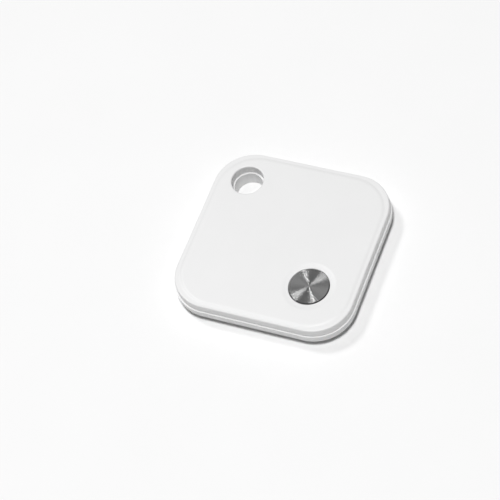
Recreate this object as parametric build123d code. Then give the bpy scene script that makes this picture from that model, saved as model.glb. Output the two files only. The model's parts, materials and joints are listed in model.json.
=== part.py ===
"""Key-ring tracker tag: a flat rounded-square case, 34 mm across, with a push button and a radio inside.

The case is a front cover lapped onto a rear cover, which stands a little proud of it as a thin rim. A tube
for the key ring passes through one corner, and a metal-faced button sits in the opposite one. Inside are a
circuit board, a coin cell, a piezo buzzer and a small snap-dome switch under the button.

Units are millimetres. The origin is the centre of the back face, +Z points out of the front face, the
key-ring hole lies towards -X +Y and the button towards +X -Y.
"""

from build123d import *

import math
import os

# Driving dimensions of the case
WIDTH = 34.0  # across the rim of the rear cover
THICKNESS = 4.7  # back face to front face
CORNER_RADIUS = 7.4  # outline corners, at the rim
SEAM_Z = 2.9  # where the two covers meet on the outside
RIM_LEDGE = 0.26  # how far the rear cover stands proud of the front cover

# Front cover
EDGE_FILLET = 0.25
FACE_STEP_INSET = 1.135  # middle of the soft step round the raised face, from the outline
FACE_STEP_RADIUS = 7.2
FACE_STEP_HALF_WIDTH = 0.37
FACE_STEP_HEIGHT = 0.11
FACE_STEP_TOE = 3.0  # slope in degrees at which the step meets the border
ROOF_Z = 4.0  # underside of the front wall
STEP_Z = 3.7  # where the roof steps down onto the seals
FRONT_WALL_INSET = 0.85  # inner face of the side wall, from the outline
STEP_INSET = 1.45

# Rear cover
FLOOR_Z = 0.6
BACK_FILLET = 2.2
CAVITY_FILLET = 1.0
REAR_WALL_INSET = 1.4
LIP_INSET = 0.9  # outer face of the lip that locates the front cover
LIP_Z = 3.5
RIM_EDGE_FILLET = 0.04
LABEL_SIDE = 18.0  # shallow blank panel on the back
LABEL_RADIUS = 3.5
LABEL_DEPTH = 0.08

# Key-ring hole
HOLE_AT = (-10.7, 10.7)
FRONT_BORE_RADIUS = 2.95
REAR_BORE_RADIUS = 2.65
HOLE_EDGE_FILLET = 0.25
FRONT_TUBE_RADIUS = 3.6
BOSS_RADIUS = 4.15
BOSS_LIP_RADIUS = 3.65  # inside of the lip round the front cover's tube

# Button
BUTTON_AT = (8.0, -7.9)
BUTTON_TRAVEL = 0.25
OPENING_RADIUS = 3.72
OPENING_EDGE_FILLET = 0.1
DISH_RADIUS = 4.85  # very shallow dish in the face round the button
DISH_DEPTH = 0.08
DISC_RADIUS = 3.6
DISC_THICKNESS = 0.3
DISC_EDGE_CHAMFER = 0.05
TAPE_RADIUS = 3.4
TAPE_THICKNESS = 0.1
CAP_RADIUS = 3.62
FLANGE_RADIUS = 4.2
FLANGE_THICKNESS = 0.4
FLANGE_GAP = 0.03  # free play under the roof
STUB_RADIUS = 1.2
PAD_RADII = (2.95, 4.0)

# Circuit board
BOARD_Z = 1.5
BOARD_THICKNESS = 0.6
BOARD_INSET = 1.7
BOARD_TOP = BOARD_Z + BOARD_THICKNESS
BOARD_HOLE_RADIUS = 4.4  # clearance round the key-ring boss
BOARD_ARM_Y = (3.2, 6.0)  # arm that runs out to the left between the cell and the hole
BOARD_LEFT_X = 3.2  # left edge of the part below the arm
BOARD_BAND_X = -5.8  # left edge of the part above the arm
POSTS_AT = [(13.4, -4.3), (4.6, -13.6), (12.4, 12.4), (-13.2, 4.6)]
POST_RADIUS = 1.0
PIN_RADIUS = 0.5
PIN_HOLE_RADIUS = 0.6
PIN_TOP = 2.6

# Switch under the button
SWITCH_SIDE = 4.0
SWITCH_CORNER = 0.3
SWITCH_FOOT_SIZE = (0.4, 0.6, 0.15)
SWITCH_FOOT_OFFSET = (2.2, 1.3)
SWITCH_TOP = 3.0
SWITCH_FLOOR_Z = 2.3
SWITCH_WELL_RADIUS = 1.7
SWITCH_FRAME_THICKNESS = 0.12
SWITCH_HOLE_RADIUS = 1.1
PLUNGER_TOP = 3.28
PLUNGER_RADIUS = 1.0
PLUNGER_FLANGE_RADIUS = 1.5
PLUNGER_FLANGE_Z = (2.63, 2.85)
DOME_RADIUS = 1.6
DOME_THICKNESS = 0.06
DOME_TOP = 2.62

# Coin cell
CELL_AT = (-6.0, -5.5)
CELL_RADIUS = 8.0
CELL_BASE = 0.75
CELL_TOP = 3.95
CAN_WALL = 0.25
CAN_EDGE_FILLET = 0.3
CRIMP_Z = (0.95, 1.15)  # the can's rim, turned in under the gasket
CRIMP_RADIUS = 7.2
CAP_CUP_RADIUS = 7.0
CAP_CUP_WALL = 0.2
CAP_FLANGE_RADIUS = 7.3
CAP_FLANGE_Z = (1.4, 1.6)
GASKET_TOP = 2.45
SEPARATOR_TOP = 1.7
CELL_CLEARANCE_RADIUS = 8.4
CELL_POCKET_RADIUS = 9.0  # the roof is thinned above the cell and its tab
CELL_POCKET_Z = 4.15
CELL_RIB_RADII = (8.2, 8.8)  # rib on the floor that keeps the cell in place
CELL_RIB_Z = 1.35
FOAM_RADII = (3.0, 6.9)
TAB_THICKNESS = 0.15
TAB_WIDTH = 3.0
TAB_SLOT_WIDTH = 3.6  # gap left in the rib and the foam
TAB_WELD_Y = -7.0  # where the tabs start on the cell
TAB_BEND_Y = 2.6  # where they bend, beside the can
TAB_FOOT = 2.4
POSITIVE_TAB_X = -7.5
NEGATIVE_TAB_X = -4.0

# Buzzer
BUZZER_AT = (5.5, 6.5)
BUZZER_TAPE_RADII = (6.2, 7.0)
BUZZER_TAPE_THICKNESS = 0.12
BUZZER_PLATE_THICKNESS = 0.15
BUZZER_CERAMIC_RADIUS = 4.6
BUZZER_CERAMIC_THICKNESS = 0.12
PLATE_CONTACT_AT = (8.9, 2.0)
CERAMIC_CONTACT_AT = (4.2, 7.2)
CONTACT_THICKNESS = 0.12
CONTACT_WIDTH = 1.0
CONTACT_LENGTH = 2.6
CONTACT_TIP = 0.5  # length of the flat pressed against the buzzer

# Components soldered on top of the board: place, size and corner radius of each
COMPONENTS = {
    "radio_chip": ((11.0, 0.8), (6.0, 6.0, 0.85), 0.1),
    "main_crystal": ((4.7, 1.0), (2.5, 2.0, 0.55), 0.2),
    "clock_crystal": ((11.0, 5.6), (3.2, 1.5, 0.75), 0.2),
    "chip_antenna": ((-2.4, 13.6), (5.2, 2.0, 1.1), 0.1),
    "buzzer_driver": ((9.2, 9.6), (3.0, 3.0, 0.75), 0.1),
    "boost_inductor": ((4.6, 9.6), (3.0, 3.0, 1.2), 0.5),
}
CAPACITOR_SIZE = (1.0, 0.5, 0.5)
RESISTOR_SIZE = (1.0, 0.5, 0.33)
CAPACITOR_ROWS = [((6.8, -2.0), (0, 1.1), 5), ((12.2, 8.0), (0, 1.0), 3), ((3.2, 13.2), (1.5, 0), 2)]
RESISTOR_ROWS = [((6.6, 13.4), (1.4, 0), 3), ((-4.4, 5.2), (1.5, 0), 3)]
PROBE_ROW = ((-10.6, 4.6), (1.5, 0), 3)
PROBE_RADIUS = 0.45
PROBE_THICKNESS = 0.05

ON_BASE = (Align.CENTER, Align.CENTER, Align.MIN)


def slab(inset, low, high):
    """The case outline pulled in by inset, from height low to high."""
    side = WIDTH - 2 * inset
    outline = RectangleRounded(side, side, CORNER_RADIUS - inset)
    return Pos(0, 0, low) * extrude(outline, high - low)


def disc(at, radius, low, high):
    """A cylinder that stands on height low at the plan position at."""
    return Pos(at[0], at[1], low) * Cylinder(radius, high - low, align=ON_BASE)


def ring(at, inner, outer, low, high):
    """A flat-ended tube."""
    return disc(at, outer, low, high) - disc(at, inner, low, high)


def block(x, y, low, high):
    """A box between the pairs x and y, from height low to high."""
    return Pos(x[0], y[0], low) * Box(
        x[1] - x[0], y[1] - y[0], high - low, align=(Align.MIN, Align.MIN, Align.MIN)
    )


def chip(at, size, radius=0.0, base=BOARD_TOP):
    """A component body of size (x, y, height) soldered on top of the board."""
    body = Pos(at[0], at[1], base) * Box(*size, align=ON_BASE)
    if radius:
        body = fillet(body.edges().filter_by(Axis.Z), radius)
    return body


def row(start, step, count):
    """The plan positions of count things that start at one place and are a step apart."""
    return [(start[0] + step[0] * i, start[1] + step[1] * i) for i in range(count)]


def edges_at(shape, z, at=None, radius=None):
    """The edges of a shape that lie flat at height z, or only the circle of that radius about at."""
    flat = [
        e
        for e in shape.edges()
        if abs(e.bounding_box().min.Z - z) < 1e-4 and abs(e.bounding_box().max.Z - z) < 1e-4
    ]
    if at is None:
        return flat
    return [
        e
        for e in flat
        if e.geom_type == GeomType.CIRCLE
        and abs(e.radius - radius) < 1e-4
        and abs(e.arc_center.X - at[0]) < 1e-4
        and abs(e.arc_center.Y - at[1]) < 1e-4
    ]


def negative_tab_slot(top):
    """Room over the floor for the negative tab, up to height top."""
    half = TAB_SLOT_WIDTH / 2
    return block((NEGATIVE_TAB_X - half, NEGATIVE_TAB_X + half), (TAB_WELD_Y, CELL_RADIUS), FLOOR_Z, top)


# Case


def raised_face():
    """The flat middle of the face, with an S-shaped step down all the way round it."""
    side = WIDTH - 2 * FACE_STEP_INSET
    half = FACE_STEP_HALF_WIDTH
    bottom = THICKNESS - 2 * FACE_STEP_HEIGHT
    slope = 2 * math.atan2(FACE_STEP_HEIGHT / 2, half)
    toe = math.radians(FACE_STEP_TOE)
    radius = half / math.sin(slope)
    middle = (0, THICKNESS - FACE_STEP_HEIGHT / 2)
    foot = (
        radius * (math.sin(slope) - math.sin(toe)),
        middle[1] + radius * (math.cos(slope) - math.cos(toe)),
    )
    shoulder = TangentArc((-half, THICKNESS), middle, tangent=(1, 0))
    hollow = TangentArc(middle, foot, tangent=shoulder % 1)
    run_out = (foot[0] + half, foot[1] - half * math.tan(toe))
    rest = Polyline(foot, run_out, (run_out[0], bottom), (-half, bottom), (-half, THICKNESS))
    section = make_face([shoulder, hollow, rest])
    outline = RectangleRounded(side, side, FACE_STEP_RADIUS).wire()
    section_plane = Plane(origin=outline @ 0, x_dir=(-1, 0, 0), z_dir=(0, 1, 0))
    middle_outline = RectangleRounded(side - 2 * half, side - 2 * half, FACE_STEP_RADIUS - half)
    middle_slab = Pos(0, 0, bottom) * extrude(middle_outline, THICKNESS - bottom)
    return sweep(section_plane * section, path=outline) + middle_slab


def face_blank():
    """The front cover's outside: the wall and its rounded edge, a narrow flat border and the raised face."""
    border_z = THICKNESS - FACE_STEP_HEIGHT
    body = slab(RIM_LEDGE, SEAM_Z, border_z)
    return fillet(edges_at(body, border_z), EDGE_FILLET) + raised_face()


def dish():
    """The shallow dish cut into the face round the button, deepest and level at the opening."""
    lip, floor = (OPENING_RADIUS, THICKNESS - DISH_DEPTH), (0, THICKNESS - DISH_DEPTH)
    curve = TangentArc(lip, (DISH_RADIUS, THICKNESS), tangent=(1, 0))
    rest = Polyline((DISH_RADIUS, THICKNESS), (0, THICKNESS), floor, lip)
    profile = Plane.XZ * make_face([curve, rest])
    return Pos(BUTTON_AT[0], BUTTON_AT[1], 0) * revolve(profile, Axis.Z)


def front_cover():
    cover = face_blank()
    low_cavity = slab(FRONT_WALL_INSET, SEAM_Z, STEP_Z) - disc(HOLE_AT, FRONT_TUBE_RADIUS, SEAM_Z, STEP_Z)
    high_cavity = slab(STEP_INSET, STEP_Z, ROOF_Z) - disc(HOLE_AT, BOSS_RADIUS, STEP_Z, ROOF_Z)
    cover -= low_cavity + high_cavity
    cover -= disc(CELL_AT, CELL_POCKET_RADIUS, ROOF_Z, CELL_POCKET_Z)
    cover -= disc(HOLE_AT, FRONT_BORE_RADIUS, SEAM_Z, THICKNESS)
    cover -= disc(BUTTON_AT, OPENING_RADIUS, ROOF_Z, THICKNESS)
    cover = fillet(edges_at(cover, THICKNESS, HOLE_AT, FRONT_BORE_RADIUS), HOLE_EDGE_FILLET)
    cover -= dish()
    opening_edge = edges_at(cover, THICKNESS - DISH_DEPTH, BUTTON_AT, OPENING_RADIUS)
    return fillet(opening_edge, OPENING_EDGE_FILLET)


def rear_cover():
    tray = slab(0, 0, SEAM_Z)
    tray = fillet(edges_at(tray, 0), BACK_FILLET)
    tray = fillet(edges_at(tray, SEAM_Z), RIM_EDGE_FILLET)
    cavity = slab(REAR_WALL_INSET, FLOOR_Z, SEAM_Z)
    cavity = fillet(edges_at(cavity, FLOOR_Z), CAVITY_FILLET)
    tray -= cavity
    tray += slab(LIP_INSET, SEAM_Z, LIP_Z) - slab(REAR_WALL_INSET, SEAM_Z, LIP_Z)
    tray += disc(HOLE_AT, BOSS_RADIUS, FLOOR_Z, SEAM_Z)
    tray += ring(HOLE_AT, BOSS_LIP_RADIUS, BOSS_RADIUS, SEAM_Z, LIP_Z)
    tray += ring(CELL_AT, *CELL_RIB_RADII, FLOOR_Z, CELL_RIB_Z) - negative_tab_slot(CELL_RIB_Z)
    for at in POSTS_AT:
        tray += disc(at, POST_RADIUS, FLOOR_Z, BOARD_Z) + disc(at, PIN_RADIUS, BOARD_Z, PIN_TOP)
    tray -= disc(HOLE_AT, REAR_BORE_RADIUS, 0, SEAM_Z)
    tray = fillet(edges_at(tray, 0, HOLE_AT, REAR_BORE_RADIUS), HOLE_EDGE_FILLET)
    return tray - extrude(RectangleRounded(LABEL_SIDE, LABEL_SIDE, LABEL_RADIUS), LABEL_DEPTH)


def seam_seal():
    return slab(LIP_INSET, LIP_Z, STEP_Z) - slab(REAR_WALL_INSET, LIP_Z, STEP_Z)


def hole_seal():
    return ring(HOLE_AT, BOSS_LIP_RADIUS, BOSS_RADIUS, LIP_Z, STEP_Z)


# Button

DISC_Z = THICKNESS - DISC_THICKNESS
CAP_TOP = DISC_Z - TAPE_THICKNESS
FLANGE_TOP = ROOF_Z - FLANGE_GAP
FLANGE_BASE = FLANGE_TOP - FLANGE_THICKNESS


def button_disc():
    plate = disc(BUTTON_AT, DISC_RADIUS, DISC_Z, THICKNESS)
    return chamfer(edges_at(plate, THICKNESS), DISC_EDGE_CHAMFER)


def button_tape():
    return disc(BUTTON_AT, TAPE_RADIUS, CAP_TOP, DISC_Z)


def button_cap():
    cap = disc(BUTTON_AT, CAP_RADIUS, FLANGE_TOP, CAP_TOP)
    cap += disc(BUTTON_AT, FLANGE_RADIUS, FLANGE_BASE, FLANGE_TOP)
    return cap + disc(BUTTON_AT, STUB_RADIUS, PLUNGER_TOP, FLANGE_BASE)


def button_pad():
    """Soft ring between the board and the cap's flange, which keeps the cap level and quiet."""
    return ring(BUTTON_AT, *PAD_RADII, BOARD_TOP, FLANGE_BASE)


# Switch


def switch_base():
    frame_base = SWITCH_TOP - SWITCH_FRAME_THICKNESS
    base = chip(BUTTON_AT, (SWITCH_SIDE, SWITCH_SIDE, frame_base - BOARD_TOP), SWITCH_CORNER)
    return base - disc(BUTTON_AT, SWITCH_WELL_RADIUS, SWITCH_FLOOR_Z, frame_base)


def switch_frame():
    """Pressed steel plate that holds the plunger in."""
    size = (SWITCH_SIDE, SWITCH_SIDE, SWITCH_FRAME_THICKNESS)
    plate = chip(BUTTON_AT, size, SWITCH_CORNER, SWITCH_TOP - SWITCH_FRAME_THICKNESS)
    return plate - disc(BUTTON_AT, SWITCH_HOLE_RADIUS, SWITCH_FLOOR_Z, SWITCH_TOP)


def switch_plunger():
    plunger = disc(BUTTON_AT, PLUNGER_FLANGE_RADIUS, *PLUNGER_FLANGE_Z)
    return plunger + disc(BUTTON_AT, PLUNGER_RADIUS, PLUNGER_FLANGE_Z[1], PLUNGER_TOP)


def switch_dome():
    """Thin spherical snap dome, resting on its rim in the well."""
    rise = DOME_TOP - SWITCH_FLOOR_Z - DOME_THICKNESS
    sphere_radius = (DOME_RADIUS**2 + rise**2) / (2 * rise)
    centre = Pos(BUTTON_AT[0], BUTTON_AT[1], DOME_TOP - DOME_THICKNESS - sphere_radius)
    shell = centre * Sphere(sphere_radius + DOME_THICKNESS) - centre * Sphere(sphere_radius)
    return shell & disc(BUTTON_AT, DOME_RADIUS, SWITCH_FLOOR_Z, DOME_TOP)


def switch_terminals():
    """Four solder feet at the corners of the switch."""
    feet = []
    for side in (-1, 1):
        for end in (-1, 1):
            at = (BUTTON_AT[0] + side * SWITCH_FOOT_OFFSET[0], BUTTON_AT[1] + end * SWITCH_FOOT_OFFSET[1])
            feet.append(chip(at, SWITCH_FOOT_SIZE))
    return feet


# Circuit board and what is soldered to it


def circuit_board():
    edge = WIDTH / 2 - BOARD_INSET
    outline = block((BOARD_LEFT_X, edge), (-edge, edge), BOARD_Z, BOARD_TOP)
    outline += block((BOARD_BAND_X, edge), (BOARD_ARM_Y[0], edge), BOARD_Z, BOARD_TOP)
    outline += block((-edge, edge), BOARD_ARM_Y, BOARD_Z, BOARD_TOP)
    board = slab(BOARD_INSET, BOARD_Z, BOARD_TOP) & outline
    board -= disc(CELL_AT, CELL_CLEARANCE_RADIUS, BOARD_Z, BOARD_TOP)
    board -= disc(HOLE_AT, BOARD_HOLE_RADIUS, BOARD_Z, BOARD_TOP)
    for at in POSTS_AT:
        board -= disc(at, PIN_HOLE_RADIUS, BOARD_Z, BOARD_TOP)
    return board


def capacitors():
    return [chip(at, CAPACITOR_SIZE) for line in CAPACITOR_ROWS for at in row(*line)]


def resistors():
    return [chip(at, RESISTOR_SIZE) for line in RESISTOR_ROWS for at in row(*line)]


def test_pads():
    """Gold-plated probe pads on the underside of the board."""
    return [disc(at, PROBE_RADIUS, BOARD_Z - PROBE_THICKNESS, BOARD_Z) for at in row(*PROBE_ROW)]


# Coin cell


def cell_can():
    """Positive can: a flat-topped cup, crimped in at the bottom."""
    can = disc(CELL_AT, CELL_RADIUS, CRIMP_Z[0], CELL_TOP)
    can -= disc(CELL_AT, CELL_RADIUS - CAN_WALL, CRIMP_Z[1], CELL_TOP - CAN_WALL)
    can -= disc(CELL_AT, CRIMP_RADIUS, *CRIMP_Z)
    return fillet(edges_at(can, CELL_TOP), CAN_EDGE_FILLET)


def cell_cap():
    """Negative cap: a shallow cup whose flange is gripped above the crimp."""
    inner = CAP_CUP_RADIUS - CAP_CUP_WALL
    cap = disc(CELL_AT, CAP_CUP_RADIUS, CELL_BASE, CAP_FLANGE_Z[0])
    cap -= disc(CELL_AT, inner, CELL_BASE + CAP_CUP_WALL, CAP_FLANGE_Z[0])
    return cap + ring(CELL_AT, inner, CAP_FLANGE_RADIUS, *CAP_FLANGE_Z)


def cell_gasket():
    outer = CELL_RADIUS - CAN_WALL
    gasket = ring(CELL_AT, CAP_CUP_RADIUS, outer, CRIMP_Z[1], CAP_FLANGE_Z[0])
    return gasket + ring(CELL_AT, CAP_FLANGE_RADIUS, outer, CAP_FLANGE_Z[0], GASKET_TOP)


def cell_anode():
    return disc(CELL_AT, CAP_CUP_RADIUS - CAP_CUP_WALL, CELL_BASE + CAP_CUP_WALL, CAP_FLANGE_Z[1])


def cell_separator():
    return disc(CELL_AT, CAP_FLANGE_RADIUS, CAP_FLANGE_Z[1], SEPARATOR_TOP)


def cell_cathode():
    return disc(CELL_AT, CRIMP_RADIUS, SEPARATOR_TOP, CELL_TOP - CAN_WALL)


def tab_x(centre):
    return (centre - TAB_WIDTH / 2, centre + TAB_WIDTH / 2)


def positive_tab():
    """Strip welded on top of the can, bent down beside it onto the top of the board."""
    x, top = tab_x(POSITIVE_TAB_X), CELL_TOP + TAB_THICKNESS
    tab = block(x, (TAB_WELD_Y, TAB_BEND_Y + TAB_THICKNESS), CELL_TOP, top)
    tab += block(x, (TAB_BEND_Y, TAB_BEND_Y + TAB_THICKNESS), BOARD_TOP, top)
    return tab + block(x, (TAB_BEND_Y, TAB_BEND_Y + TAB_FOOT), BOARD_TOP, BOARD_TOP + TAB_THICKNESS)


def negative_tab():
    """Strip welded under the cap, bent up beside the can onto the underside of the board."""
    x, base = tab_x(NEGATIVE_TAB_X), CELL_BASE - TAB_THICKNESS
    tab = block(x, (TAB_WELD_Y, TAB_BEND_Y + TAB_THICKNESS), base, CELL_BASE)
    tab += block(x, (TAB_BEND_Y, TAB_BEND_Y + TAB_THICKNESS), base, BOARD_Z)
    return tab + block(x, (TAB_BEND_Y, TAB_BEND_Y + TAB_FOOT), BOARD_Z - TAB_THICKNESS, BOARD_Z)


def cell_pad():
    """Foam ring under the cell, open where the negative tab passes."""
    return ring(CELL_AT, *FOAM_RADII, FLOOR_Z, CELL_BASE) - negative_tab_slot(CELL_BASE)


# Buzzer

PLATE_Z = FLOOR_Z + BUZZER_TAPE_THICKNESS
CERAMIC_Z = PLATE_Z + BUZZER_PLATE_THICKNESS
CERAMIC_TOP = CERAMIC_Z + BUZZER_CERAMIC_THICKNESS


def buzzer_tape():
    return ring(BUZZER_AT, *BUZZER_TAPE_RADII, FLOOR_Z, PLATE_Z)


def buzzer_plate():
    return disc(BUZZER_AT, BUZZER_TAPE_RADII[1], PLATE_Z, CERAMIC_Z)


def buzzer_ceramic():
    return disc(BUZZER_AT, BUZZER_CERAMIC_RADIUS, CERAMIC_Z, CERAMIC_TOP)


def contact_spring(at, touch_z):
    """Folded leaf spring, its foot soldered under the board and its free end pressing at height touch_z."""
    half = CONTACT_THICKNESS / 2
    foot_z, tip_z = BOARD_Z - half, touch_z + half
    line = Polyline((0, foot_z), (CONTACT_LENGTH, foot_z), (CONTACT_TIP, tip_z), (0, tip_z))
    strip = Plane.XZ * trace(line, CONTACT_THICKNESS)
    spring = extrude(strip, CONTACT_WIDTH / 2, both=True)
    room = Pos(CONTACT_LENGTH / 2, 0, touch_z) * Box(
        2 * CONTACT_LENGTH, 2 * CONTACT_WIDTH, BOARD_Z - touch_z, align=ON_BASE
    )
    return Pos(at[0], at[1], 0) * (spring & room)


def plate_contact():
    return contact_spring(PLATE_CONTACT_AT, CERAMIC_Z)


def ceramic_contact():
    return contact_spring(CERAMIC_CONTACT_AT, CERAMIC_TOP)


def save(name, shape):
    """Write one sub-part; a list of solids becomes one group."""
    if isinstance(shape, list):
        shape = Compound(children=shape)
    export_step(shape, f"parts/{name}.step")


CASE = [front_cover, rear_cover, seam_seal, hole_seal]
BUTTON = [button_disc, button_tape, button_cap, button_pad]
SWITCH = [switch_base, switch_frame, switch_plunger, switch_dome, switch_terminals]
BOARD = [circuit_board, capacitors, resistors, test_pads]
CELL = [cell_can, cell_cap, cell_gasket, cell_anode, cell_separator, cell_cathode]
CELL_MOUNTING = [positive_tab, negative_tab, cell_pad]
BUZZER = [buzzer_tape, buzzer_plate, buzzer_ceramic, plate_contact, ceramic_contact]

os.makedirs("parts", exist_ok=True)
for make in CASE + BUTTON + SWITCH + BOARD + CELL + CELL_MOUNTING + BUZZER:
    save(make.__name__, make())
for name, (place, size, corner) in COMPONENTS.items():
    save(name, chip(place, size, corner))
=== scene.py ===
"""Studio scene of a thin white key-ring tracker tag with a spun-metal button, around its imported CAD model."""

import json
import math

import bpy
from mathutils import Matrix, Vector


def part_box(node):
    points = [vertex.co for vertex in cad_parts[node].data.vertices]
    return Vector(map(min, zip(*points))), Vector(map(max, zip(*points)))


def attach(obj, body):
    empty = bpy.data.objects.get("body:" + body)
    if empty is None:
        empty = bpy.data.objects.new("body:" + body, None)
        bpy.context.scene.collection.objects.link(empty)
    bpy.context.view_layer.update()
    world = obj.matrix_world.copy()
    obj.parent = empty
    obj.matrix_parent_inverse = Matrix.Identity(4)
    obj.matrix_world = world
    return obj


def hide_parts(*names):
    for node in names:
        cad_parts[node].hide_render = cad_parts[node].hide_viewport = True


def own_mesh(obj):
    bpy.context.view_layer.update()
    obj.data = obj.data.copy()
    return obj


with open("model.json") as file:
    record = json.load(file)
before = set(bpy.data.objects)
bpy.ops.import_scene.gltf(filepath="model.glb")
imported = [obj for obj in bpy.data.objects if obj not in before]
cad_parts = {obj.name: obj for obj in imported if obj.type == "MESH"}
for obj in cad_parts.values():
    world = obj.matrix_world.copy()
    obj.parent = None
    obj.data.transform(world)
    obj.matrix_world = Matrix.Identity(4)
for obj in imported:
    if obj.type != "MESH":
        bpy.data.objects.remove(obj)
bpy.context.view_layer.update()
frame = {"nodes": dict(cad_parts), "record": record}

MM = 0.001
MICRON = 0.000001

# Camera: where it aims on the face, how far it stands and how it is turned
AIM = Vector((-4.889, -3.419, 4.7)) * MM
DISTANCE = 382.5 * MM
AZIMUTH = math.radians(35.22)
ELEVATION = math.radians(55.79)
ROLL = math.radians(-17.56)
LENS = 154.25

# Room: how bright its walls and ceiling are, and between which heights the one fades into the other
LIGHT_DISTANCE = 0.9
WALL_STRENGTH = 0.16
CEILING_STRENGTH = 0.04
FADE_FROM = 0.3
FADE_TO = 0.75
FLOOR_HALF_WIDTH = 3.0
FLOOR_GAP = 0.01 * MM

# Board: its copper runs, and the areas in which they all lie the same way; shares are of those areas
RUN_PITCH = 0.44 * MM
RUN_HALF_WIDTH = 0.06 * MM
RUN_HEIGHT = 12 * MICRON
RUN_AREA = 3.4 * MM
LENGTHWISE_SHARE = 0.5
BARE_SHARE = 0.35
CLOTH_WEAVE = 0.8 * MM

# Silicone ring under the button
PAD_BORE_SHARE = 0.7375
PAD_LIP = 0.12 * MM
PAD_BULGE = 0.1 * MM
PAD_FLUTES = 12
PAD_FLUTE_DEPTH = 0.05 * MM

# Snap dome of the switch; shares are of its radius or of its rise
DOME_THICKNESS = 0.06 * MM
DOME_LEGS = 4
DOME_LEG_NOTCH = 0.09
DOME_CROWN_FULLNESS = 0.09
DOME_DIMPLE_DEPTH = 0.09
DOME_DIMPLE_RADIUS = 0.13
DOME_EYE = 0.002


# Scene


def towards(azimuth, elevation):
    """The unit vector that points from the object to a viewer at that azimuth and elevation."""
    flat = math.cos(elevation)
    return Vector((math.sin(azimuth) * flat, -math.cos(azimuth) * flat, math.sin(elevation)))


def add(name, data, matrix=None):
    obj = bpy.data.objects.new(name, data)
    bpy.context.scene.collection.objects.link(obj)
    if matrix is not None:
        obj.matrix_world = matrix
    return obj


def facing(target, azimuth, elevation, distance, spin):
    """The matrix of something that looks at target from that direction, spun about its own view."""
    back = towards(azimuth, elevation)
    turn = back.to_track_quat("Z", "Y").to_matrix() @ Matrix.Rotation(spin, 3, "Z")
    return Matrix.Translation(target + back * distance) @ turn.to_4x4()


def make_camera():
    data = bpy.data.cameras.new("camera")
    data.lens = LENS
    data.clip_start = 0.01
    data.clip_end = 5.0
    bpy.context.scene.camera = add("camera", data, facing(AIM, AZIMUTH, ELEVATION, DISTANCE, ROLL))


def area_light(name, azimuth, elevation, size, power, spin=0.0):
    """A soft box that faces the object; size is (width, height) in metres, and angles are in degrees."""
    data = bpy.data.lights.new(name, "AREA")
    data.shape = "RECTANGLE"
    data.size, data.size_y = size
    data.energy = power
    azimuth, elevation, spin = map(math.radians, (azimuth, elevation, spin))
    add(name, data, facing(Vector(), azimuth, elevation, LIGHT_DISTANCE, spin))


def make_lights():
    """Two soft boxes light the shell; the card and strip behind give the disc a bright wedge and a streak."""
    area_light("main_softbox", azimuth=25, elevation=80, size=(0.17, 0.17), power=6.75)
    area_light("left_softbox", azimuth=-114, elevation=59.5, size=(0.15, 0.15), power=2.1)
    area_light("back_card", azimuth=215, elevation=56, size=(0.5, 0.09), power=0.06, spin=-50)
    area_light("streak_strip", azimuth=212, elevation=70, size=(0.008, 0.2), power=0.12)
    bpy.context.scene.view_settings.view_transform = "Standard"


def make_room():
    """A dim white room: darker overhead, lighter walls low down all the way round."""
    world = bpy.data.worlds.new("studio")
    world.use_nodes = True
    tree = world.node_tree
    background = tree.nodes["Background"]
    background.inputs["Color"].default_value = (1.0, 1.0, 1.0, 1.0)
    direction = tree.nodes.new("ShaderNodeTexCoord")
    height = tree.nodes.new("ShaderNodeSeparateXYZ")
    tree.links.new(direction.outputs["Generated"], height.inputs["Vector"])
    fade = tree.nodes.new("ShaderNodeMapRange")
    fade.interpolation_type = "SMOOTHSTEP"
    fade.inputs["From Min"].default_value = FADE_FROM
    fade.inputs["From Max"].default_value = FADE_TO
    fade.inputs["To Min"].default_value = WALL_STRENGTH
    fade.inputs["To Max"].default_value = CEILING_STRENGTH
    tree.links.new(height.outputs["Z"], fade.inputs["Value"])
    tree.links.new(fade.outputs["Result"], background.inputs["Strength"])
    bpy.context.scene.world = world


def make_floor():
    """White paper, a hair below the back of the tag so that the two faces don't share a plane."""
    mesh = bpy.data.meshes.new("floor")
    half = FLOOR_HALF_WIDTH
    corners = [(-half, -half, 0), (half, -half, 0), (half, half, 0), (-half, half, 0)]
    mesh.from_pydata(corners, [], [(0, 1, 2, 3)])
    floor = add("floor", mesh, Matrix.Translation((0.0, 0.0, -FLOOR_GAP)))
    floor.data.materials.append(paper_white())


# Materials


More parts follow.
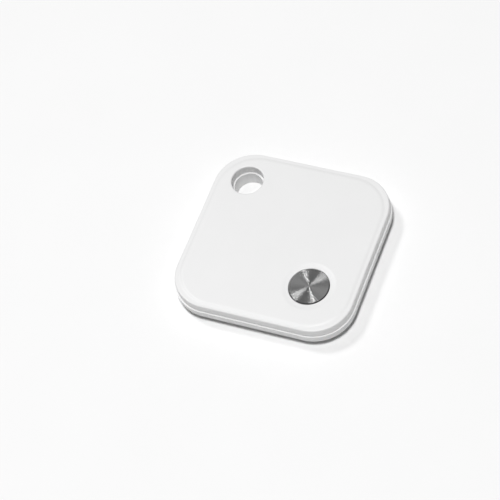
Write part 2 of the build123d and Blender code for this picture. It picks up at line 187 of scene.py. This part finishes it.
class Nodes:
    """A material's node tree, with short ways to add and join nodes."""

    def __init__(self, name):
        self.material = bpy.data.materials.new(name)
        self.material.use_nodes = True
        self.tree = self.material.node_tree
        self.shader = self.tree.nodes["Principled BSDF"]

    def node(self, kind, **settings):
        made = self.tree.nodes.new(kind)
        for key, value in settings.items():
            setattr(made, key, value)
        return made

    def join(self, source, target):
        self.tree.links.new(source, target)

    def drive(self, socket, source):
        """Joins source to the shader's socket of that name."""
        self.join(source, self.shader.inputs[socket])

    def place(self):
        """Coordinates in metres that stay on the piece."""
        return self.node("ShaderNodeTexCoord").outputs["Object"]

    def noise(self, size, detail=3.0, coordinates=None):
        """Noise whose lumps are about size metres across, from 0 to 1."""
        made = self.node("ShaderNodeTexNoise")
        made.inputs["Scale"].default_value = 1.0 / size
        made.inputs["Detail"].default_value = detail
        self.join(coordinates or self.place(), made.inputs["Vector"])
        return made.outputs["Fac"]

    def remap(self, value, low, high):
        """value from 0..1 turned into low..high."""
        made = self.node("ShaderNodeMapRange")
        made.inputs["To Min"].default_value = low
        made.inputs["To Max"].default_value = high
        self.join(value, made.inputs["Value"])
        return made.outputs["Result"]

    def blend(self, factor, first, second):
        """The colour first where factor is 0 and second where it is 1."""
        made = self.node("ShaderNodeMix", data_type="RGBA")
        made.inputs["A"].default_value = (*first, 1.0)
        made.inputs["B"].default_value = (*second, 1.0)
        self.join(factor, made.inputs["Factor"])
        return made.outputs["Result"]

    def maths(self, operation, first, second):
        """An operation on two values, each a number or another node's output."""
        made = self.node("ShaderNodeMath", operation=operation)
        for socket, value in zip(made.inputs, (first, second)):
            if isinstance(value, (int, float)):
                socket.default_value = value
            else:
                self.join(value, socket)
        return made.outputs["Value"]

    def vector_maths(self, operation, first, second=None):
        """An operation on another node's vector and, where it takes a second one, a fixed vector."""
        made = self.node("ShaderNodeVectorMath", operation=operation)
        self.join(first, made.inputs[0])
        if second is not None:
            made.inputs[1].default_value = second
        return made

    def bump(self, height, depth, before=None):
        """Raises the surface by up to depth metres where height is 1."""
        made = self.node("ShaderNodeBump")
        made.inputs["Distance"].default_value = depth
        self.join(height, made.inputs["Height"])
        if before is not None:
            self.join(before, made.inputs["Normal"])
        self.drive("Normal", made.outputs["Normal"])
        return made.outputs["Normal"]

    def set(self, **values):
        """Sets the shader's own sockets; underscores stand for spaces."""
        for key, value in values.items():
            self.shader.inputs[key.replace("_", " ")].default_value = value


def grey(value):
    return (value, value, value)


def paper_white():
    """Matte white paper of the backdrop."""
    m = Nodes("paper_white")
    m.drive("Base Color", m.blend(m.noise(20 * MM), grey(0.83), grey(0.85)))
    m.bump(m.noise(0.4 * MM), 4 * MICRON)
    m.set(Roughness=0.95, Specular_IOR_Level=0.1)
    return m.material


def shell_plastic():
    """Satin white plastic: an even, very fine moulded grain, and patches polished a little by handling."""
    m = Nodes("shell_plastic")
    m.drive("Base Color", m.blend(m.noise(6 * MM, detail=4.0), grey(0.73), grey(0.75)))
    grain = m.bump(m.noise(0.12 * MM, detail=2.0), 1.2 * MICRON)
    m.bump(m.noise(4.5 * MM, detail=2.0), 6 * MICRON, before=grain)
    m.drive("Roughness", m.remap(m.noise(3 * MM, detail=4.0), 0.34, 0.42))
    m.set(Specular_IOR_Level=0.5)
    return m.material


def turned(name, node, dark, light, roughness, groove=0.06 * MM, anisotropic=1.0, waviness=0.15):
    """Metal turned or polished in circles about a node's centre: highlights run out along its radii."""
    m = Nodes(name)
    low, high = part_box(node)
    offset = m.vector_maths("SUBTRACT", m.place(), (low + high) / 2).outputs["Vector"]
    outward = m.vector_maths("MULTIPLY", offset, (1.0, 1.0, 0.0)).outputs["Vector"]
    radius = m.vector_maths("LENGTH", outward).outputs["Value"]
    unit = m.vector_maths("NORMALIZE", outward).outputs["Vector"]
    sideways = m.vector_maths("CROSS_PRODUCT", unit, (0.0, 0.0, 1.0)).outputs["Vector"]
    waver = m.vector_maths("SCALE", sideways)
    m.join(m.remap(m.noise(0.2 * MM, detail=2.0), -waviness, waviness), waver.inputs["Scale"])
    tangent = m.vector_maths("ADD", unit)
    m.join(waver.outputs["Vector"], tangent.inputs[1])
    m.drive("Tangent", tangent.outputs["Vector"])
    grooves = m.node("ShaderNodeTexNoise", noise_dimensions="1D")
    grooves.inputs["Scale"].default_value = 1.0 / groove
    grooves.inputs["Detail"].default_value = 3.0
    m.join(radius, grooves.inputs["W"])
    m.bump(grooves.outputs["Fac"], 1.5 * MICRON)
    m.drive("Base Color", m.blend(grooves.outputs["Fac"], dark, light))
    m.set(Metallic=1.0, Roughness=roughness, Anisotropic=anisotropic)
    return m.material


def moulded(name, dark, light, roughness, grain=0.15 * MM, depth=3 * MICRON):
    """Plastic, rubber or resin: patches of slightly different colour and gloss over a fine moulded grain."""
    m = Nodes(name)
    m.drive("Base Color", m.blend(m.noise(1.2 * MM), dark, light))
    m.drive("Roughness", m.remap(m.noise(0.6 * MM), roughness - 0.07, roughness + 0.07))
    fine = m.bump(m.noise(grain), depth)
    m.bump(m.noise(grain * 8, detail=1.0), depth * 2, before=fine)
    return m.material


def granular(name, dark, light, roughness, cell, depth):
    """Foam or pressed powder: rounded cells, with painted shade in the gaps between them, which the bump
    lowers.
    """
    m = Nodes(name)
    cells = m.node("ShaderNodeTexVoronoi")
    cells.inputs["Scale"].default_value = 1.0 / cell
    m.join(m.place(), cells.inputs["Vector"])
    # Painted shade: the colour darkens from each cell's centre towards its edges, the gaps that the bump below
    # sinks.
    m.drive("Base Color", m.blend(cells.outputs["Distance"], light, dark))
    m.drive("Roughness", m.remap(m.noise(cell * 4), roughness - 0.05, roughness + 0.05))
    m.bump(m.maths("SUBTRACT", 1.0, cells.outputs["Distance"]), depth)
    return m.material


def rolled(name, dark, light, roughness, along=(1.0, 0.05, 1.0)):
    """Rolled or drawn sheet metal: fine lines in one direction, dulled in patches."""
    m = Nodes(name)
    stretched = m.vector_maths("MULTIPLY", m.place(), along).outputs["Vector"]
    lines = m.noise(0.05 * MM, coordinates=stretched)
    m.drive("Base Color", m.blend(lines, dark, light))
    wear = m.maths("ADD", m.remap(lines, -0.05, 0.05), m.remap(m.noise(1.5 * MM), -0.06, 0.06))
    m.drive("Roughness", m.maths("ADD", wear, roughness))
    m.bump(lines, 0.4 * MICRON)
    m.set(Metallic=1.0)
    return m.material


def silicone():
    """Milky translucent silicone, dusty matte with a soft bloom at grazing angles."""
    m = Nodes("silicone")
    m.drive("Base Color", m.blend(m.noise(1.5 * MM), (0.60, 0.60, 0.58), (0.70, 0.70, 0.68)))
    m.drive("Roughness", m.remap(m.noise(0.5 * MM), 0.5, 0.68))
    m.bump(m.noise(0.1 * MM), 4 * MICRON)
    m.set(Subsurface_Weight=0.3, Subsurface_Radius=(0.6 * MM, 0.6 * MM, 0.5 * MM), Sheen_Weight=0.15)
    return m.material


def copper_runs(m):
    """1 on the board's copper runs and 0 elsewhere; an area has lengthwise runs, crosswise runs or none."""
    place = m.node("ShaderNodeSeparateXYZ")
    m.join(m.place(), place.inputs["Vector"])
    across, along = [
        m.maths("LESS_THAN", m.maths("PINGPONG", place.outputs[axis], RUN_PITCH / 2), RUN_HALF_WIDTH)
        for axis in ("X", "Y")
    ]
    areas = m.node("ShaderNodeTexVoronoi", distance="CHEBYCHEV")
    areas.inputs["Scale"].default_value = 1.0 / RUN_AREA
    m.join(m.place(), areas.inputs["Vector"])
    area = m.node("ShaderNodeSeparateColor")
    m.join(areas.outputs["Color"], area.inputs["Color"])
    crosswise = m.maths("GREATER_THAN", area.outputs["Red"], LENGTHWISE_SHARE)
    lengthwise = m.maths("SUBTRACT", 1.0, crosswise)
    runs = m.maths("ADD", m.maths("MULTIPLY", across, crosswise), m.maths("MULTIPLY", along, lengthwise))
    return m.maths("MULTIPLY", runs, m.maths("GREATER_THAN", area.outputs["Green"], BARE_SHARE))


def board_laminate():
    """Green solder mask over glass cloth; the copper runs under it show as raised, lighter lines."""
    m = Nodes("board_laminate")
    copper = copper_runs(m)
    weave = m.node("ShaderNodeTexWave")
    weave.inputs["Scale"].default_value = 1.0 / CLOTH_WEAVE
    weave.inputs["Distortion"].default_value = 0.4
    m.join(m.place(), weave.inputs["Vector"])
    tone = m.maths("ADD", m.maths("MULTIPLY", copper, 0.75), m.maths("MULTIPLY", weave.outputs["Fac"], 0.15))
    m.drive("Base Color", m.blend(tone, (0.012, 0.085, 0.045), (0.03, 0.19, 0.10)))
    m.drive("Roughness", m.remap(m.noise(2 * MM), 0.28, 0.38))
    raised = m.bump(copper, RUN_HEIGHT)
    m.bump(weave.outputs["Fac"], 3 * MICRON, before=raised)
    return m.material


def make_materials():
    """One material for each slot of the record."""
    return {
        "white_shell": shell_plastic(),
        "spun_metal": turned("spun_metal", "button_disc", grey(0.42), grey(0.54), 0.13),
        "cap_plastic": moulded("cap_plastic", (0.010, 0.010, 0.012), (0.020, 0.020, 0.022), 0.45),
        "adhesive": moulded(
            "adhesive", (0.62, 0.60, 0.52), (0.74, 0.72, 0.64), 0.7, grain=0.2 * MM, depth=10 * MICRON
        ),
        "seal_rubber": moulded("seal_rubber", (0.05, 0.05, 0.053), (0.08, 0.08, 0.083), 0.75),
        "silicone": silicone(),
        "foam": granular(
            "foam", (0.004, 0.004, 0.005), (0.025, 0.025, 0.028), 0.9, cell=0.18 * MM, depth=60 * MICRON
        ),
        "board_laminate": board_laminate(),
        "gold_plate": rolled("gold_plate", (0.72, 0.48, 0.16), (0.86, 0.62, 0.26), 0.3),
        "chip_resin": moulded(
            "chip_resin", (0.010, 0.010, 0.011), (0.022, 0.022, 0.024), 0.6, grain=0.06 * MM
        ),
        "component_ceramic": moulded(
            "component_ceramic", (0.26, 0.17, 0.09), (0.36, 0.25, 0.14), 0.5, grain=0.08 * MM
        ),
        "antenna_ceramic": moulded(
            "antenna_ceramic", (0.66, 0.67, 0.66), (0.76, 0.77, 0.75), 0.4, grain=0.08 * MM
        ),
        "ferrite": granular(
            "ferrite", (0.010, 0.010, 0.011), (0.035, 0.035, 0.037), 0.65, cell=0.1 * MM, depth=12 * MICRON
        ),
        "crystal_can": rolled("crystal_can", (0.55, 0.54, 0.51), (0.68, 0.67, 0.64), 0.3),
        "switch_resin": moulded(
            "switch_resin", (0.012, 0.012, 0.013), (0.026, 0.026, 0.028), 0.5, grain=0.08 * MM
        ),
        "spring_steel": rolled("spring_steel", grey(0.44), grey(0.58), 0.28),
        "cell_steel": turned(
            "cell_steel", "cell_can", grey(0.50), grey(0.62), 0.28, groove=0.12 * MM, anisotropic=0.7
        ),
        "cell_polymer": moulded("cell_polymer", (0.30, 0.31, 0.33), (0.40, 0.41, 0.43), 0.5),
        "cathode_mass": granular(
            "cathode_mass", grey(0.003), grey(0.02), 0.85, cell=0.2 * MM, depth=30 * MICRON
        ),
        "lithium": rolled("lithium", (0.36, 0.36, 0.35), (0.52, 0.52, 0.50), 0.5, along=(1.0, 0.2, 1.0)),
        "contact_strip": rolled("contact_strip", (0.56, 0.55, 0.52), (0.70, 0.69, 0.66), 0.25),
        "buzzer_brass": turned(
            "buzzer_brass",
            "buzzer_plate",
            (0.50, 0.34, 0.10),
            (0.66, 0.47, 0.18),
            0.3,
            groove=0.2 * MM,
            anisotropic=0.5,
        ),
        "piezo_ceramic": moulded(
            "piezo_ceramic", (0.52, 0.50, 0.45), (0.66, 0.64, 0.58), 0.45, grain=0.05 * MM
        ),
    }


# Pieces that replace the CAD nodes that change shape


def turned_mesh(name, profile, centre, reach, steps=192):
    """Turns a closed profile of (radius, height) round centre; reach(radius, angle) gives the true radius."""
    mesh = bpy.data.meshes.new(name)
    points = []
    for i in range(steps):
        angle = 2 * math.pi * i / steps
        for radius, height in profile:
            out = reach(radius, angle)
            points.append((centre.x + out * math.cos(angle), centre.y + out * math.sin(angle), height))
    count = len(profile)
    faces = []
    for i in range(steps):
        after = (i + 1) % steps
        for j in range(count):
            following = (j + 1) % count
            faces.append((i * count + j, after * count + j, after * count + following, i * count + following))
    mesh.from_pydata(points, [], faces)
    mesh.shade_smooth()
    return add(name, mesh)


def pad_profile(inner, outer, base, top, steps=24):
    """A ring's section, counter-clockwise: flat ends with rounded lips, and side walls that belly out."""
    middle, half = (inner + outer) / 2, (outer - inner) / 2
    height = top - base
    side = []
    for i in range(steps + 1):
        t = i / steps
        into_lip = max(0.0, PAD_LIP - min(t, 1 - t) * height)
        round_off = PAD_LIP - math.sqrt(PAD_LIP**2 - into_lip**2)
        side.append((half - PAD_BULGE * (1 - math.sin(math.pi * t)) - round_off, base + height * t))
    right = [(middle + out, z) for out, z in side]
    left = [(middle - out, z) for out, z in reversed(side)]
    return right + left


def make_pad(material):
    """The silicone ring under the button cap, with shallow flutes inside so that it gives evenly."""
    low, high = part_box("button_pad")
    centre = (low + high) / 2
    outer = high.x - centre.x
    inner = PAD_BORE_SHARE * outer

    def fluted(radius, angle):
        share = max(0.0, (outer - radius) / (outer - inner) - 0.5) * 2
        return radius + PAD_FLUTE_DEPTH * share * (1 - math.cos(PAD_FLUTES * angle)) / 2

    pad = turned_mesh("silicone_pad", pad_profile(inner, outer, low.z, high.z), centre, fluted)
    pad.data.materials.append(material)
    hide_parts("button_pad")
    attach(pad, "casing")
    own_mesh(pad)


def make_dome(material, rings=40):
    """The snap dome of spring steel: four rounded legs, a crown and a small dimple at its centre."""
    low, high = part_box("switch_dome")
    centre = (low + high) / 2
    reach = high.x - centre.x
    rise = high.z - low.z - DOME_THICKNESS

    def height(radius):
        share = radius / reach
        crown = (1 - share**2) * (1 + DOME_CROWN_FULLNESS * share**2)
        dimple = DOME_DIMPLE_DEPTH * math.exp(-((share / DOME_DIMPLE_RADIUS) ** 2))
        return low.z + rise * (crown - dimple)

    def notched(radius, angle):
        notch = DOME_LEG_NOTCH * (radius / reach) ** 2 * (1 - math.cos(DOME_LEGS * angle)) / 2
        return radius * (1 - notch)

    eye = DOME_EYE * reach
    radii = [eye + (reach - eye) * i / rings for i in range(rings + 1)]
    under = [(radius, height(radius)) for radius in radii]
    top = [(radius, z + DOME_THICKNESS) for radius, z in reversed(under)]
    dome = turned_mesh("snap_dome", under + top, centre, notched)
    dome.data.materials.append(material)
    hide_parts("switch_dome")
    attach(dome, "casing")
    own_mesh(dome)


def main():
    make_camera()
    make_lights()
    make_room()
    make_floor()
    materials = make_materials()
    for part in frame["record"]["subparts"]:
        mesh = frame["nodes"][part["node"]].data
        mesh.materials.clear()
        mesh.materials.append(materials[part["material_slot"]])
    make_pad(materials["silicone"])
    make_dome(materials["spring_steel"])


main()
